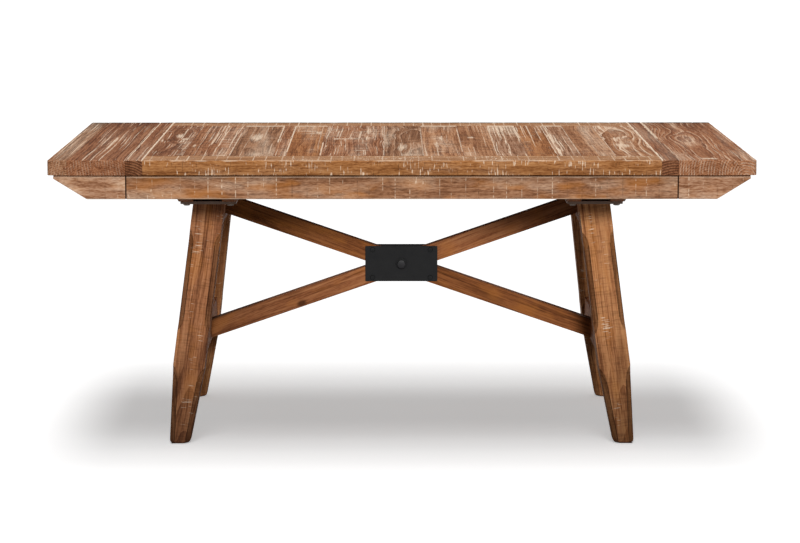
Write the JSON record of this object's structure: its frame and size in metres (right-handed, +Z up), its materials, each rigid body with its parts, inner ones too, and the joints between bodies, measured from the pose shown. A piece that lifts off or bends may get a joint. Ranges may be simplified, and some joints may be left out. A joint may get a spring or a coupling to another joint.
{
  "type": "extending trestle dining table",
  "caption": "Long planked dining table whose ends pull out on wooden runners, on splayed stop-chamfered legs tied by a crossed brace with a black plate.",
  "frame": {"origin": "on the floor below the middle of the top", "axes": "+X along the table's length to the right, +Y towards the rear, +Z up; the front looks towards -Y"},
  "size_m": [1.778, 1.016, 0.762],
  "materials": {
    "plank_pine": "stained, whitewash in the grain, satin lacquer",
    "border_pine": "stained, whitewash in saw marks, satin lacquer",
    "apron_pine": "stained, whitewash in saw marks, satin lacquer",
    "leg_pine": "stained, dark glaze on the edges, satin lacquer",
    "brace_pine": "dark stain, satin lacquer",
    "frame_pine": "unfinished planed pine",
    "runner_beech": "waxed planed beech",
    "black_steel": "matt black powder coat",
    "leg_plate_steel": "black oxide steel plate",
    "bolt_steel": "zinc plated"
  },
  "bodies": {
    "centre": {"cross_bolt_set": "black_steel", "cross_plate_screws": "black_steel", "falling_brace": "brace_pine", "front_apron": "apron_pine", "front_cross_plate": "black_steel", "front_edge_rail": "border_pine", "front_left_leg": "leg_pine", "front_right_leg": "leg_pine", "left_inner_bearer": "frame_pine", "left_lower_rail": "leg_pine", "left_outer_bearer": "frame_pine", "left_seam_rail": "frame_pine", "left_seam_strip": "border_pine", "left_upper_rail": "leg_pine", "leg_lag_bolts": "bolt_steel", "leg_plate_bolts": "bolt_steel", "leg_plates": "leg_plate_steel", "rear_apron": "apron_pine", "rear_cross_plate": "black_steel", "rear_edge_rail": "border_pine", "rear_left_leg": "leg_pine", "rear_right_leg": "leg_pine", "right_inner_bearer": "frame_pine", "right_lower_rail": "leg_pine", "right_outer_bearer": "frame_pine", "right_seam_rail": "frame_pine", "right_seam_strip": "border_pine", "right_upper_rail": "leg_pine", "rising_brace": "brace_pine", "top_plank_01": "plank_pine", "top_plank_02": "plank_pine", "top_plank_03": "plank_pine", "top_plank_04": "plank_pine", "top_plank_05": "plank_pine", "top_plank_06": "plank_pine", "top_plank_07": "plank_pine", "top_plank_08": "plank_pine", "top_plank_09": "plank_pine", "top_plank_10": "plank_pine", "top_plank_11": "plank_pine", "top_plank_12": "plank_pine", "top_plank_13": "plank_pine", "top_plank_14": "plank_pine"},
    "left_end": {"left_end_inner_board": "border_pine", "left_end_outer_board": "border_pine", "left_seam_dowels": "runner_beech", "left_front_apron_end": "apron_pine", "left_rear_apron_end": "apron_pine", "left_end_rail": "frame_pine", "left_front_runner": "runner_beech", "left_rear_runner": "runner_beech"},
    "right_end": {"right_end_inner_board": "border_pine", "right_end_outer_board": "border_pine", "right_seam_dowels": "runner_beech", "right_front_apron_end": "apron_pine", "right_rear_apron_end": "apron_pine", "right_end_rail": "frame_pine", "right_front_runner": "runner_beech", "right_rear_runner": "runner_beech"}
  },
  "joints": [
    {"name": "left_end_pull", "type": "slide", "parent": "centre", "child": "left_end", "axis": [-1, 0, 0], "range_m": [0, 0.457]},
    {"name": "right_end_pull", "type": "slide", "parent": "centre", "child": "right_end", "axis": [1, 0, 0], "range_m": [0, 0.457]}
  ]
}
